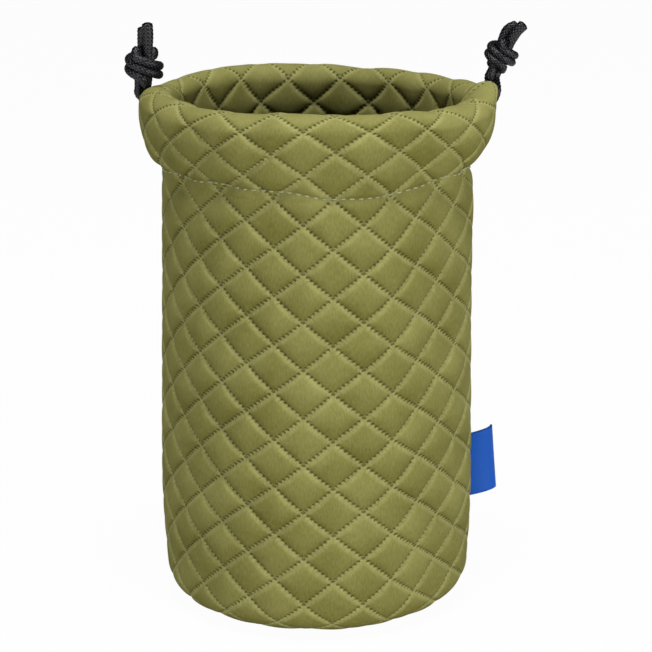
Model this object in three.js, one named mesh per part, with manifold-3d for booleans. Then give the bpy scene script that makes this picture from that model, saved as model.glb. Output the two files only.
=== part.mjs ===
// Quilted drawstring pouch for a camera lens. Millimetres, +Z up, the front faces -Y.
// The origin is the middle of the underside, and the folded side label is at +X.
import * as THREE from "three";
import { mergeVertices } from "three/addons/utils/BufferGeometryUtils.js";
import Module from "manifold-3d";

const wasm = await Module();
wasm.setup();

// Driving dimensions of the sewn body
const baseSeamRadius = 38.5; // where the wall meets the round base
const cornerTopRadius = 52.7;
const cornerHeight = 12;
const bellyRadius = 53.7;
const bellyHeight = 37;
const rimHeight = 179;
const hemRadius = 52.4;
const hemBelowRim = 27; // the stitched line under the drawcord casing
const casingBulge = 4.8; // how far the casing swells past the wall
const bulgeHeight = 17;
const rollThickness = 12.9; // across the rolled casing
const turnInBelowHem = 4; // lower edge of the turned-in fabric inside the mouth
const mouthStretch = 3; // the mouth is this much wider than round along X, and narrower along Y
const stretchBelow = 4; // the stretch grows from this far below the hem to this far above it
const stretchAbove = 11;

// Driving dimensions of the layers and their seams
const layerGap = 0.3; // air between sewn pieces
const knitThickness = 0.6;
const quiltDepth = 1;
const paddingThickness = 1.4;
const liningThickness = 0.6;
const diamondHeight = 16.2;
const diamondsRound = 17;
const slotWidth = 9; // the side slit of the casing that lets the cords out
const tapeWidth = 7;
const tapeThickness = 0.9;
const tapeClearance = 4; // short of the base lining and of the turned-in edge

// Driving dimensions of the drawcords
const cordDiameter = 3.3;
const cordSides = 8;
const knotCordSides = 6;
const lowerCordBelowRim = 13.6;
const upperCordBelowRim = 9;
const cordSquashShare = 0.9; // spacing of cords pulled tight, as a share of their diameter
const knotTurns = 1.25;
const casingCordStep = 9; // along the cord, between two rings of its surface
const freeCordStep = 2.5;
const knotCordStep = 4;

// Driving dimensions of the side label
const labelHeight = 22;
const labelBottom = 35;
const labelReach = 8.8; // how far it stands out from the seam
const labelSweep = 5; // how far its folded edge curls to the back
const labelThickness = 1;
const labelSteps = 5;

// The two ends of the pouch's drawcords: where each knot sits, how it leans and how much its windings
// slant, how its tails are cut, and the way of its two leads. A lead's points are how far out past the
// casing, how far back and how far below the rim.
const sides = {
  left: {
    sign: -1,
    cordBelowRim: lowerCordBelowRim,
    knot: { pastCasing: 0.5, aboveRim: 6.9, lean: -2, spin: -20, slantShare: 0.35 },
    tails: { front: 7.2, back: 5.2 },
    tailLean: 0,
    leads: {
      front: [
        [-3.9, -2.4, 13.4],
        [-0.8, -1.9, 11.8],
        [1.4, -1.95, 8.4],
        [1.5, -1.9, 4.2],
      ],
      back: [
        [-4.8, 2.4, 13.4],
        [-7, 1.9, 12],
        [-8.1, 1.95, 8.6],
        [-5.6, 1.95, 4.4],
      ],
    },
  },
  right: {
    sign: 1,
    cordBelowRim: upperCordBelowRim,
    knot: { pastCasing: 3.7, aboveRim: 9.8, lean: 22, spin: 50, slantShare: 0 },
    tails: { front: 4.4, back: 6.4 },
    tailLean: 32,
    leads: {
      front: [
        [-3.8, -2.4, 8.8],
        [-1.3, -1.95, 7.2],
        [2, -1.95, 4.6],
        [3, -1.9, 1],
      ],
      back: [
        [-4.2, 2.4, 8.8],
        [-3.6, 2, 6],
        [-2.6, 1.95, 1.4],
      ],
    },
  },
};

const hemHeight = rimHeight - hemBelowRim;
const turnInHeight = hemHeight - turnInBelowHem;
const knitDepth = quiltDepth + knitThickness;
const paddingDepth = knitDepth + layerGap;
const liningDepth = paddingDepth + paddingThickness + layerGap;
const wallThickness = liningDepth + liningThickness;
const turnInRadius = hemRadius - 2 * wallThickness - layerGap;
const crestRadius = rollThickness / 2;
const casingRadius = hemRadius + casingBulge;
const cordRadius = cordDiameter / 2;

// How the casing swells above the hem: points as shares of its bulge and of the bulge's height
const bulgeShares = [
  [0.17, 0.16],
  [0.54, 0.39],
  [0.83, 0.68],
  [1, 1],
];

const materials = {
  knit: new THREE.MeshStandardMaterial({ color: 0x86854a, roughness: 0.9, metalness: 0 }),
  foam: new THREE.MeshStandardMaterial({ color: 0xd8d6c8, roughness: 0.95, metalness: 0 }),
  lining: new THREE.MeshStandardMaterial({ color: 0x2f2f20, roughness: 0.85, metalness: 0 }),
  tape: new THREE.MeshStandardMaterial({ color: 0x55552e, roughness: 0.85, metalness: 0 }),
  cord: new THREE.MeshStandardMaterial({ color: 0x1c1c1f, roughness: 0.6, metalness: 0 }),
  label: new THREE.MeshStandardMaterial({ color: 0x0a55bd, roughness: 0.5, metalness: 0 }),
};

const group = new THREE.Group();

function addPiece(name, geometry, material) {
  const mesh = new THREE.Mesh(geometry, material);
  mesh.name = name;
  group.add(mesh);
}

// Outline of the pouch's face, from the base seam up the wall, round the casing and down inside the mouth.
// Its points are (radius, height), one at each half diamond of the quilting.
function faceOutline() {
  const wall = new THREE.Path();
  wall.moveTo(baseSeamRadius, layerGap);
  wall.absellipse(
    baseSeamRadius,
    cornerHeight,
    cornerTopRadius - baseSeamRadius,
    cornerHeight - layerGap,
    -Math.PI / 2,
    0,
  );
  wall.splineThru([
    new THREE.Vector2(bellyRadius, bellyHeight),
    new THREE.Vector2(hemRadius, hemHeight),
  ]);

  const casing = new THREE.Path();
  const crestHeight = rimHeight - crestRadius;
  casing.moveTo(hemRadius, hemHeight);
  casing.splineThru(
    bulgeShares.map(
      ([out, up]) => new THREE.Vector2(hemRadius + out * casingBulge, hemHeight + up * bulgeHeight),
    ),
  );
  casing.lineTo(casingRadius, crestHeight);
  casing.absarc(casingRadius - crestRadius, crestHeight, crestRadius, 0, Math.PI);
  casing.lineTo(turnInRadius, turnInHeight);

  const halfDiamond = diamondHeight / 2;
  const wallRows = Math.round(wall.getLength() / halfDiamond);
  const casingRows = Math.round(casing.getLength() / halfDiamond);
  const rows = [];
  for (const [row, point] of wall.getSpacedPoints(wallRows).entries()) {
    rows.push({ point, quiltRow: row - wallRows, slit: false });
  }
  // The casing turns tightly, so it also has rows between the half diamonds.
  for (const [step, point] of casing.getSpacedPoints(2 * casingRows).entries()) {
    if (step > 0) rows.push({ point, quiltRow: step / 2, slit: true });
  }
  // Each row carries the direction out of the fabric, lengthened where two straight stretches meet.
  for (const [i, row] of rows.entries()) {
    row.order = i;
    const toHere = row.point.clone().sub(rows[Math.max(i - 1, 0)].point);
    const toNext = rows[Math.min(i + 1, rows.length - 1)].point.clone().sub(row.point);
    const straight = (i > 0 ? toHere : toNext).normalize();
    const along = toNext.normalize().add(straight).normalize();
    row.outward = new THREE.Vector2(along.y, -along.x).divideScalar(along.dot(straight));
  }
  rows[0].outward.set(0, -1); // the wall's layers stand square on the base's edge
  return rows;
}

const face = faceOutline();

// How much the mouth is pulled to an oval at a height.
function stretchAt(height) {
  const share = THREE.MathUtils.smoothstep(height, hemHeight - stretchBelow, hemHeight + stretchAbove);
  return mouthStretch * share;
}

// A point at an angle round the pouch, as far from the middle as the radius says before the oval stretch.
function around(radius, angle, height) {
  const stretch = stretchAt(height);
  return new THREE.Vector3(
    (radius + stretch) * Math.cos(angle),
    (radius - stretch) * Math.sin(angle),
    height,
  );
}

// 0 on the quilting lines and 1 at the middle of each diamond. Both counts are in half diamonds.
function quiltSwell(column, row) {
  const rising = (column + row) / 2;
  const falling = (column - row) / 2;
  const toLine = (value) => Math.abs(value - Math.round(value));
  return 2 * Math.min(toLine(rising), toLine(falling));
}

// One half of a layer, as a closed sheet between two depths under the pouch's face.
// The half starts at an angle and runs half way round, anticlockwise seen from above.
function halfLayer(startAngle, outerDepth, innerDepth, outerRows, innerRows, quilted) {
  const columns = diamondsRound;
  const positions = [];
  const triangle = (...corners) => {
    for (const corner of corners) positions.push(corner.x, corner.y, corner.z);
  };
  const quad = (a, b, c, d) => {
    triangle(a, b, c);
    triangle(a, c, d);
  };
  const swellAt = (row, column) => quiltSwell(column + 1, row.quiltRow);
  const vertex = (row, column, depth) => {
    const radius = row.point.x - depth * row.outward.x;
    const height = row.point.y - depth * row.outward.y;
    const gap = row.slit ? slotWidth / 2 : layerGap / 2;
    const inset = Math.asin(gap / (radius - stretchAt(height)));
    const turn = THREE.MathUtils.clamp((Math.PI * column) / columns, inset, Math.PI - inset);
    return around(radius, startAngle + turn, height);
  };
  const surface = (rows, depthAt) =>
    rows.map((row) =>
      Array.from({ length: columns + 1 }, (_, column) => vertex(row, column, depthAt(row, column))),
    );

  // The quilted face is lowest on its lines, and the seams draw it down as well.
  const outer = surface(outerRows, (row, column) => {
    if (!quilted) return outerDepth;
    const onSeam = column === 0 || column === columns;
    return outerDepth + quiltDepth * (onSeam ? 1 : 1 - swellAt(row, column));
  });
  const inner = surface(innerRows, () => innerDepth);

  // Each square of the face folds along the quilting line that crosses it.
  for (let i = 0; i + 1 < outer.length; i++) {
    for (let j = 0; j < columns; j++) {
      const [a, b, c, d] = [outer[i][j], outer[i][j + 1], outer[i + 1][j + 1], outer[i + 1][j]];
      const risingFold = swellAt(outerRows[i], j) + swellAt(outerRows[i + 1], j + 1);
      const fallingFold = swellAt(outerRows[i], j + 1) + swellAt(outerRows[i + 1], j);
      if (risingFold <= fallingFold) quad(a, b, c, d);
      else quad(b, c, d, a);
    }
  }
  for (let i = 0; i + 1 < inner.length; i++) {
    for (let j = 0; j < columns; j++) {
      quad(inner[i][j], inner[i + 1][j], inner[i + 1][j + 1], inner[i][j + 1]);
    }
  }
  for (let j = 0; j < columns; j++) {
    quad(inner[0][j], inner[0][j + 1], outer[0][j + 1], outer[0][j]);
    quad(outer.at(-1)[j], outer.at(-1)[j + 1], inner.at(-1)[j + 1], inner.at(-1)[j]);
  }
  // A seam edge is closed row by row, from whichever face has the next row.
  for (const column of [0, columns]) {
    const close = column === 0 ? triangle : (a, b, c) => triangle(a, c, b);
    let i = 0;
    let j = 0;
    while (i + 1 < outer.length || j + 1 < inner.length) {
      const outerNext = outerRows[i + 1]?.order ?? Infinity;
      const innerNext = innerRows[j + 1]?.order ?? Infinity;
      if (outerNext <= innerNext) {
        close(outer[i][column], outer[i + 1][column], inner[j][column]);
        i += 1;
      } else {
        close(outer[i][column], inner[j + 1][column], inner[j][column]);
        j += 1;
      }
    }
  }
  const geometry = new THREE.BufferGeometry();
  geometry.setAttribute("position", new THREE.Float32BufferAttribute(positions, 3));
  geometry.computeVertexNormals();
  return geometry;
}

// A plain face needs all the rows of the round corner and of the oval mouth, and few on the straight wall.
const wallRowStep = 5;
const plainRows = face.filter(({ point, quiltRow }) => {
  if (point.y < cornerHeight || point.y > hemHeight - stretchBelow) return Number.isInteger(quiltRow);
  return quiltRow % wallRowStep === 0;
});

for (const [half, startAngle] of [
  ["front", Math.PI],
  ["back", 0],
]) {
  addPiece(`${half}_cover`, halfLayer(startAngle, 0, knitDepth, face, plainRows, true), materials.knit);
  addPiece(
    `${half}_padding`,
    halfLayer(
      startAngle,
      paddingDepth,
      paddingDepth + paddingThickness,
      plainRows,
      plainRows,
      false,
    ),
    materials.foam,
  );
  addPiece(
    `${half}_lining`,
    halfLayer(startAngle, liningDepth, wallThickness, plainRows, plainRows, false),
    materials.lining,
  );
}

// The round base has the same three layers, edge to edge with the wall's.
function baseDisc(bottom, thickness) {
  const radius = baseSeamRadius - layerGap;
  const disc = new THREE.CylinderGeometry(radius, radius, thickness, 2 * diamondsRound);
  disc.rotateX(Math.PI / 2);
  disc.translate(0, 0, bottom + thickness / 2);
  return disc;
}

addPiece("base_cover", baseDisc(0, knitDepth + layerGap), materials.knit);
addPiece("base_padding", baseDisc(paddingDepth + layerGap, paddingThickness), materials.foam);
addPiece("base_lining", baseDisc(liningDepth + layerGap, liningThickness), materials.lining);

// The radius of an outline at a height, where it is crossed first.
function radiusAt(outline, height) {
  const i = outline.findIndex((point, k) => k > 0 && (point.y - height) * (outline[k - 1].y - height) <= 0);
  const [a, b] = [outline[i - 1], outline[i]];
  return a.x + ((b.x - a.x) * (height - a.y)) / (b.y - a.y);
}

// A bound tape covers the raw edges of each side seam inside the pouch. It follows the wall's inner face.
function seamTape(side) {
  const { sign } = sides[side];
  const bottom = cornerHeight + tapeClearance;
  const top = turnInHeight - tapeClearance;
  const wall = plainRows
    .filter(({ slit }) => !slit)
    .map(({ point, outward }) => point.clone().addScaledVector(outward, -wallThickness));
  const heights = [bottom, ...wall.map(({ y }) => y).filter((y) => y > bottom && y < top), top];
  const faceAt = (depth) =>
    heights.map((height) => new THREE.Vector2(sign * (radiusAt(wall, height) - depth), height));
  const section = [...faceAt(2 * layerGap), ...faceAt(2 * layerGap + tapeThickness).toReversed()];
  const tape = new THREE.ExtrudeGeometry(new THREE.Shape(section), {
    depth: tapeWidth,
    bevelEnabled: false,
  });
  tape.rotateX(Math.PI / 2);
  tape.translate(0, tapeWidth / 2, 0);
  return tape;
}

addPiece("left_seam_tape", seamTape("left"), materials.tape);
addPiece("right_seam_tape", seamTape("right"), materials.tape);

// A round cord along a curve.
function cordGeometry(curve, step, sideCount) {
  const section = new THREE.Shape(
    Array.from({ length: sideCount }, (_, i) => {
      const turn = (2 * Math.PI * i) / sideCount;
      return new THREE.Vector2(cordRadius * Math.cos(turn), cordRadius * Math.sin(turn));
    }),
  );
  return new THREE.ExtrudeGeometry(section, {
    extrudePath: curve,
    steps: Math.max(2, Math.round(curve.getLength() / step)),
    bevelEnabled: false,
  });
}

// A drawcord runs all round inside the casing, half way between its two walls, and its two ends stop short of
// the slit on its own side.
function casingLoop({ sign, cordBelowRim }) {
  const outline = face.map(({ point }) => point);
  const cordHeight = rimHeight - cordBelowRim;
  const outside = radiusAt(outline.filter((point, i) => face[i].slit), cordHeight);
  const channelRadius = (outside + radiusAt(outline.toReversed(), cordHeight)) / 2;
  const own = sign > 0 ? 0 : Math.PI;
  const inset = Math.asin((slotWidth / 2 + cordDiameter) / channelRadius);
  const steps = 2 * diamondsRound;
  return new THREE.CatmullRomCurve3(
    Array.from({ length: steps + 1 }, (_, i) => {
      const turn = inset + ((2 * Math.PI - 2 * inset) * i) / steps;
      return around(channelRadius, own + turn, cordHeight);
    }),
  );
}

// The frame of a knot: its middle, the way it points, and the side on which the front cord goes in.
function knotFrame({ sign, knot }) {
  const lean = THREE.MathUtils.degToRad(knot.lean) * sign;
  const up = new THREE.Vector3(Math.sin(lean), 0, Math.cos(lean));
  const spin = THREE.MathUtils.degToRad(knot.spin) * sign;
  const out = new THREE.Vector3(sign, 0, 0).projectOnPlane(up).normalize().applyAxisAngle(up, spin);
  const across = up.clone().cross(out);
  const centre = new THREE.Vector3(sign * (casingRadius + knot.pastCasing), 0, rimHeight + knot.aboveRim);
  return { centre, up, out, across };
}

const tightSpacing = cordSquashShare * cordDiameter;
const coreRadius = tightSpacing / Math.SQRT2; // four cords side by side fill the middle of the knot
const wrapRadius = coreRadius + tightSpacing;
const wrapPitch = 2 * tightSpacing; // two cords wind side by side
const wrapHeight = wrapPitch * knotTurns;
const knotHalfHeight = (wrapHeight + tightSpacing) / 2 + cordRadius + layerGap;

// An overhand knot tied in two cords together. Each cord goes up the middle, over the top, down round the
// outside and up the middle again. The back cord's way is the front cord's, turned by half a turn.
function knotRoute(side, cord) {
  const { centre, up, out, across } = knotFrame(sides[side]);
  const half = cord === "front" ? 0 : Math.PI;
  const place = (radius, turn, height) => {
    const reach = new THREE.Vector3()
      .addScaledVector(out, radius * Math.cos(turn + half))
      .addScaledVector(across, radius * Math.sin(turn + half));
    const slant = radius > coreRadius ? -sides[side].knot.slantShare * reach.x : 0;
    return centre.clone().add(reach).addScaledVector(up, height + slant);
  };
  const fullTurn = 2 * Math.PI * knotTurns;
  const top = wrapHeight / 2;
  const hookRadius = (coreRadius + wrapRadius) / 2;
  const hookTurn = Math.PI / 15;
  const wrapTurn = Math.PI / 6;
  const wrapPoints = 10;
  const goesIn = [
    place(coreRadius, 0, -knotHalfHeight),
    place(coreRadius, 0, 0),
    place(coreRadius, 0, top - tightSpacing / 2),
  ];
  const down = Array.from({ length: wrapPoints + 1 }, (_, i) => {
    const turn = wrapTurn + ((fullTurn - 2 * wrapTurn) * i) / wrapPoints;
    return place(wrapRadius, turn, top - (wrapPitch * turn) / (2 * Math.PI));
  });
  const goesOut = [
    place(coreRadius, fullTurn, tightSpacing / 2 - top),
    place(coreRadius, fullTurn, 0),
    place(coreRadius, fullTurn, knotHalfHeight),
  ];
  const overTop = place(hookRadius, hookTurn, top + tightSpacing / 2);
  const underneath = place(hookRadius, fullTurn - hookTurn, -top - tightSpacing / 2);
  return { goesIn, overTop, down, underneath, goesOut };
}

function solid(geometry) {
  const weldShare = 0.01;
  const bare = geometry.clone();
  bare.deleteAttribute("normal");
  bare.deleteAttribute("uv");
  const merged = mergeVertices(bare, weldShare * layerGap);
  return new wasm.Manifold(
    new wasm.Mesh({
      numProp: 3,
      vertProperties: merged.attributes.position.array,
      triVerts: new Uint32Array(merged.index.array),
    }),
  );
}

function geometryOf(body) {
  const { vertProperties, triVerts } = body.getMesh();
  const geometry = new THREE.BufferGeometry();
  geometry.setAttribute("position", new THREE.BufferAttribute(vertProperties, 3));
  geometry.setIndex(new THREE.BufferAttribute(triVerts, 1));
  geometry.computeVertexNormals();
  return geometry;
}

// The knot's cords are pressed together, so they are joined into one body, and the narrow space that they
// shut in is filled.
function knotGeometry(side) {
  const parts = [];
  for (const cord of ["front", "back"]) {
    const { goesIn, overTop, down, underneath, goesOut } = knotRoute(side, cord);
    for (const stretch of [
      [...goesIn, overTop, down[0]],
      [overTop, ...down, underneath, goesOut[0]],
      [underneath, ...goesOut],
    ]) {
      const curve = new THREE.CatmullRomCurve3(stretch, false, "catmullrom");
      parts.push(solid(cordGeometry(curve, knotCordStep, knotCordSides)));
    }
  }
  const joined = wasm.Manifold.union(parts);
  const outside = joined.decompose().reduce((a, b) => (a.volume() > b.volume() ? a : b));
  return geometryOf(outside);
}

for (const [side, settings] of Object.entries(sides)) {
  const loop = casingLoop(settings);
  addPiece(`${side}_drawcord`, cordGeometry(loop, casingCordStep, cordSides), materials.cord);
  addPiece(`${side}_knot`, knotGeometry(side), materials.cord);
  const { up } = knotFrame(settings);
  for (const cord of ["front", "back"]) {
    const toBack = (cord === "front") === settings.sign < 0 ? 0 : 1;
    const exit = loop.getPoint(toBack);
    const onward = loop.getTangent(toBack).multiplyScalar(toBack ? 1 : -1);
    const { goesIn, goesOut } = knotRoute(side, cord);
    const start = exit.clone().addScaledVector(onward, layerGap);
    const end = goesIn[0].clone().addScaledVector(up, -layerGap);
    const lead = new THREE.CatmullRomCurve3([
      start,
      start.clone().addScaledVector(onward, cordRadius),
      ...settings.leads[cord].map(
        ([out, back, below]) =>
          new THREE.Vector3(settings.sign * (casingRadius + out), back, rimHeight - below),
      ),
      end.clone().addScaledVector(up, -cordRadius),
      end,
    ]);
    addPiece(`${side}_lead_${cord}`, cordGeometry(lead, freeCordStep, cordSides), materials.cord);

    const tailLean = THREE.MathUtils.degToRad(settings.tailLean) * settings.sign;
    const tailWay = new THREE.Vector3(Math.sin(tailLean), 0, Math.cos(tailLean));
    const root = goesOut.at(-1).clone().addScaledVector(up, layerGap);
    const tail = new THREE.QuadraticBezierCurve3(
      root,
      root.clone().addScaledVector(up, settings.tails[cord] / 2),
      root.clone().addScaledVector(tailWay, settings.tails[cord]),
    );
    addPiece(`${side}_tail_${cord}`, cordGeometry(tail, freeCordStep, cordSides), materials.cord);
  }
}

// The label is a woven strip, folded double, whose cut ends are sewn into the right side seam.
// It curls back along a quarter of an ellipse.
function labelGeometry() {
  const rootX = bellyRadius - quiltDepth + layerGap;
  const frontFace = [];
  const backFace = [];
  for (let i = 0; i <= labelSteps; i++) {
    const turn = (Math.PI / 2) * (i / labelSteps);
    const middle = new THREE.Vector2(
      rootX + labelReach * Math.sin(turn),
      labelSweep * (1 - Math.cos(turn)),
    );
    const along = new THREE.Vector2(labelReach * Math.cos(turn), labelSweep * Math.sin(turn));
    const toBack = new THREE.Vector2(-along.y, along.x).setLength(labelThickness / 2);
    backFace.push(middle.clone().add(toBack));
    frontFace.push(middle.clone().sub(toBack));
  }
  const outline = new THREE.Shape([...frontFace, ...backFace.toReversed()]);
  const label = new THREE.ExtrudeGeometry(outline, { depth: labelHeight, bevelEnabled: false });
  label.translate(0, 0, labelBottom);
  return label;
}

addPiece("side_label", labelGeometry(), materials.label);

export default group;
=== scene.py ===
# A padded drawstring pouch for a camera lens, built up as it is sewn. Metres, +Z up, the front faces -Y.
import math

import bpy
import numpy as np
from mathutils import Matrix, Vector


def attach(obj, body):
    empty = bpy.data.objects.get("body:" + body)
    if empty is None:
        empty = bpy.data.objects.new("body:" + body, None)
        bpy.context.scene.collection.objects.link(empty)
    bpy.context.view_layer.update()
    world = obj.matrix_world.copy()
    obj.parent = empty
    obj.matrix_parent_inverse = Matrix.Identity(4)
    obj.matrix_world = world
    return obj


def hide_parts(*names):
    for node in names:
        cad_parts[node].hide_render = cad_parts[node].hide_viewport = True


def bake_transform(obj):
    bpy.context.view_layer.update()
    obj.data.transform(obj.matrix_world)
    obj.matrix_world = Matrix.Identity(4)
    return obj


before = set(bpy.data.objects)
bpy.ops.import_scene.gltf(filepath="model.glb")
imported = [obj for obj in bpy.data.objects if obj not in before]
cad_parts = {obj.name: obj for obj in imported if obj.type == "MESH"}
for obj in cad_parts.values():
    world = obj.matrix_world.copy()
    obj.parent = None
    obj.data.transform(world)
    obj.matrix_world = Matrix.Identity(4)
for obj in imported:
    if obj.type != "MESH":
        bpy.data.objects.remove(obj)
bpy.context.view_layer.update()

# Camera. It stands about 0.9 m in front and looks a little down into the mouth, from the photograph's angle.
MM = 0.001
EYE = Vector((3.15, -861.7, 357.8)) * MM
AIM = Vector((3.15, 0, 95.1)) * MM
LENS_MM = 144.8
SENSOR_MM = 36
scene = bpy.context.scene
camera_data = bpy.data.cameras.new("camera")
camera_data.lens = LENS_MM
camera_data.sensor_width = SENSOR_MM
camera = bpy.data.objects.new("camera", camera_data)
camera.location = EYE
camera.rotation_euler = (AIM - EYE).to_track_quat("-Z", "Y").to_euler()
scene.collection.objects.link(camera)
scene.camera = camera

# Form of the sewn pouch. Two padded halves stand round a flat base, bulge a little above the stitched hem
# and roll over inside the mouth. The pull of the cords makes the mouth a slight oval.
BASE_SEAM_RADIUS = 38.5 * MM
CORNER_TOP_RADIUS = 52.7 * MM
CORNER_HEIGHT = 12 * MM
BELLY_RADIUS = 53.7 * MM
BELLY_HEIGHT = 37 * MM
HEM_RADIUS = 52.4 * MM
HEM_HEIGHT = 152 * MM
CASING_BULGE = 4.8 * MM
RIM_HEIGHT = 179 * MM
CREST_RADIUS = 6 * MM
TURN_IN_RADIUS = 43.9 * MM
TURN_IN_HEIGHT = 148 * MM
# Radius and height of the casing's outer face, in mm, from the hem to where it starts to roll over
BULGE_MM = ((52.4, 152), (53.2, 154.7), (55, 158.6), (56.4, 163.5), (57.2, 169))
CASING_RADIUS = HEM_RADIUS + CASING_BULGE
LAYER_GAP = 0.3 * MM
CORNER_POINTS = 24
CREST_POINTS = 33
DIAMONDS_ROUND = 17
QUILT_RADIUS = 53.3 * MM
COLUMN_WIDTH = math.pi * QUILT_RADIUS / DIAMONDS_ROUND  # half a diamond
ROW_HEIGHT = 8.1 * MM
MOUTH_STRETCH = 3 * MM
STRETCH_FROM = 148 * MM
STRETCH_TO = 163 * MM
# The casing sways a little to the right and is tucked in under its right side. The right end of the front
# half's rim leans out over the cords.
CASING_SWAY = 0.5 * MM
RIGHT_TUCK = 1.8 * MM
TUCK_HEIGHT = 155.5 * MM
TUCK_REACH_UP = 9 * MM
TUCK_REACH_DOWN = 5 * MM
TUCK_POWER = 6  # the higher, the less the tuck reaches to the front and the back
CORNER_LEAN = 2.8 * MM
CORNER_REACH = 0.42  # sine of the turn from the right over which the corner leans out
# How far the rim and the stitched hem stand above their plain heights, in mm, at angles in degrees. The
# front half of the rim stands up most at its right end, in front of the cords.
RIM_WAVE = {
    "front": ((-180, 0.9), (-174, 0.9), (-162, 0.8), (-150, 0.4), (-138, -0.3), (-125, 0.1),
              (-112, -0.1), (-100, 0.7), (-88, 1.4), (-60, 0.3), (-45, -0.9), (-30, -1.4),
              (-20, -0.8), (-8, 3.6), (0, 4.5)),
    "back": ((0, 0.4), (10, -1.5), (24, -2.3), (45, -2.8), (60, -2.7), (80, -2.5), (100, -2.8),
             (118, -1.2), (145, -1.3), (165, -1.8), (180, -1.5)),
}
HEM_WAVE = {
    "front": ((-180, -0.4), (-170, 1.2), (-158, 2.9), (-140, 3), (-120, 3.5), (-105, 2.6),
              (-98, 2.6), (-85, 0.2), (-75, 0.6), (-61, 0.1), (-50, 1.9), (-42, 2.8), (-30, 3.8),
              (-15, 2), (0, -0.4)),
    "back": ((0, -0.4), (30, 2), (90, 2.5), (150, 2), (180, -0.4)),
}
CURVE_STEPS = 24  # between two given points of a smooth line


def smooth_line(points, step):
    """Equal steps along a smooth line through the points, which turns gently where they are close."""
    knots = np.array(points, float)
    knots = np.vstack([2 * knots[0] - knots[1], knots, 2 * knots[-1] - knots[-2]])
    fine = [knots[1]]
    for i in range(1, len(knots) - 2):
        before, here, after, beyond = knots[i - 1 : i + 3]
        pairs = ((before, here), (here, after), (after, beyond))
        last, gap, following = (math.sqrt(np.linalg.norm(q - p)) for p, q in pairs)
        leave = ((here - before) / last - (after - before) / (last + gap)) * gap + after - here
        arrive = ((beyond - after) / following - (beyond - here) / (gap + following)) * gap + after - here
        for t in np.linspace(0, 1, CURVE_STEPS + 1)[1:]:
            turn = (2 * t**3 - 3 * t**2 + 1, t**3 - 2 * t**2 + t, 3 * t**2 - 2 * t**3, t**3 - t**2)
            fine.append(turn[0] * here + turn[1] * leave + turn[2] * after + turn[3] * arrive)
    return even_steps(fine, step)


def run_along(points):
    """The way from the first point to each point of a line."""
    return np.concatenate([[0], np.cumsum(np.linalg.norm(np.diff(points, axis=0), axis=1))])


def even_steps(points, step=None, count=None):
    points = np.array(points, float)
    run = run_along(points)
    steps = count or max(2, round(run[-1] / step))
    at = np.linspace(0, run[-1], steps + 1)
    return np.stack([np.interp(at, run, points[:, k]) for k in range(points.shape[1])], axis=1)


def arc(centre, radii, start, end, count):
    turns = np.radians(np.linspace(start, end, count))
    return [(centre[0] + radii[0] * math.cos(t), centre[1] + radii[1] * math.sin(t)) for t in turns]


def wave_at(angle, wave):
    """Height above the plain form at angles in radians, eased from mark to mark."""
    turn = (np.degrees(angle) + 180) % 360 - 180
    height = np.zeros_like(turn)
    for half, marks in wave.items():
        for (start, low), (end, high) in zip(marks, marks[1:]):
            share = np.clip((turn - start) / (end - start), 0, 1)
            eased = low + (high - low) * share * share * (3 - 2 * share)
            height = np.where((turn >= start) & (turn <= end), eased, height)
    return height * MM


def ramp(value, start, end):
    t = np.clip((value - start) / (end - start), 0, 1)
    return t * t * (3 - 2 * t)


def stretch_at(height):
    return MOUTH_STRETCH * ramp(height, STRETCH_FROM, STRETCH_TO)


def crossed(*values):
    """Values along a grid's rows, its columns or both, brought together at each of its points."""
    return np.stack(np.broadcast_arrays(*values), axis=-1)


def around(radius, angle, height):
    """Points of the pouch from their radius before the oval stretch, angle and plain height."""
    stretch = stretch_at(height)
    lift = ramp(height, HEM_HEIGHT, RIM_HEIGHT) * wave_at(angle, RIM_WAVE)
    from_tuck = (height - TUCK_HEIGHT) / np.where(height > TUCK_HEIGHT, TUCK_REACH_UP, TUCK_REACH_DOWN)
    radius = radius - RIGHT_TUCK * np.exp(-(from_tuck**2)) * np.clip(np.cos(angle), 0, 1) ** TUCK_POWER
    right_front = (np.sin(angle) < 0) * (np.cos(angle) > 0)
    near_corner = np.exp(-((np.sin(angle) / CORNER_REACH) ** 2)) * right_front
    up_crest = np.clip((height - RIM_HEIGHT + CREST_RADIUS) / CREST_RADIUS, 0, 1)
    radius = radius + CORNER_LEAN * near_corner * up_crest
    x = (radius + stretch) * np.cos(angle) + CASING_SWAY * ramp(height, HEM_HEIGHT, STRETCH_TO)
    y = (radius - stretch) * np.sin(angle)
    return crossed(x, y, height + lift)


def node(kind, inputs=(), **settings):
    """Add a node to the tree in hand, that of the material or world being made."""
    made = tree.nodes.new(kind)
    for name, value in settings.items():
        setattr(made, name, value)
    for socket, value in dict(inputs).items():
        if isinstance(value, bpy.types.NodeSocket):
            tree.links.new(value, made.inputs[socket])
        else:
            made.inputs[socket].default_value = value
    return made


def maths(operation, *values, clamp=False):
    return node("ShaderNodeMath", enumerate(values), operation=operation, use_clamp=clamp).outputs[0]


def times(a, b):
    return maths("MULTIPLY", a, b)


def linear(colour):
    """A colour as sRGB hex, in linear light for a shader."""
    shares = [int(colour[i : i + 2], 16) / 255 for i in (0, 2, 4)]
    return [s / 12.92 if s <= 0.04045 else ((s + 0.055) / 1.055) ** 2.4 for s in shares] + [1]


def material(name):
    made = bpy.data.materials.new(name)
    made.use_nodes = True
    made.node_tree.nodes.clear()
    return made, made.node_tree


def shade(share, low, high):
    """From one colour to another. Each is sRGB hex or comes from a node."""
    low, high = (linear(colour) if isinstance(colour, str) else colour for colour in (low, high))
    return node("ShaderNodeMix", {0: share, 6: low, 7: high}, data_type="RGBA").outputs[2]


def cloth_place():
    return node("ShaderNodeUVMap", uv_map="cloth").outputs[0]


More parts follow.
